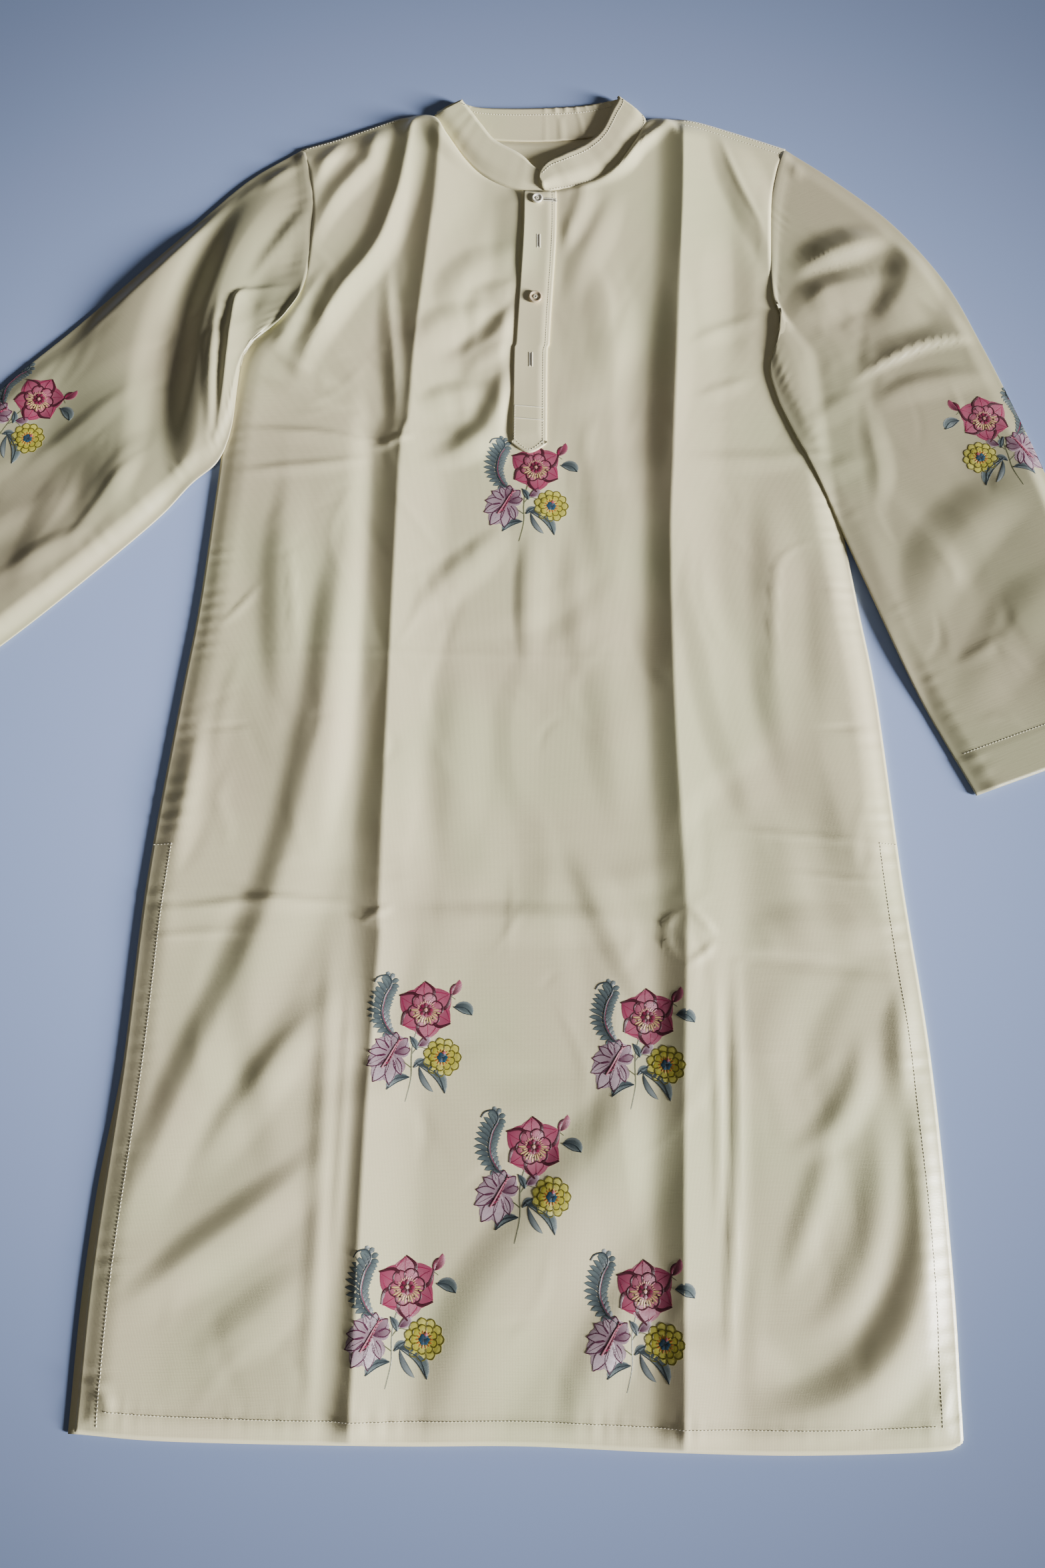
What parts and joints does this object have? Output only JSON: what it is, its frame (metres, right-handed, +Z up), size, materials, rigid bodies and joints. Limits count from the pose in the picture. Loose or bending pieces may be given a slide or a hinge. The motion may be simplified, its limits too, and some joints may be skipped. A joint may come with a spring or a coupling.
{
  "type": "kurta tunic",
  "caption": "Long-sleeved knee-length kurta tunic with a stand collar, a half placket and side vents, laid flat face up.",
  "frame": {"origin": "on the surface that the garment lies on, under the middle of its box", "axes": "+Z up out of the front, +Y from the hem to the collar, +X towards the wearer's left arm"},
  "size_m": [1.118, 1.1431, 0.0193],
  "materials": {
    "ivory_cloth": "ivory silk-cotton with a fine plain weave, a soft satin sheen and embroidered flowers",
    "button": "beige four-hole shirt button, softly glossy"
  },
  "bodies": {
    "root": {"back_panel": "ivory_cloth", "front_panel": "ivory_cloth", "sleeve_right": "ivory_cloth", "sleeve_left": "ivory_cloth", "collar_band": "ivory_cloth", "placket_overlap": "ivory_cloth", "placket_underlap": "ivory_cloth", "button_neck": "button", "button_chest": "button"}
  },
  "joints": []
}
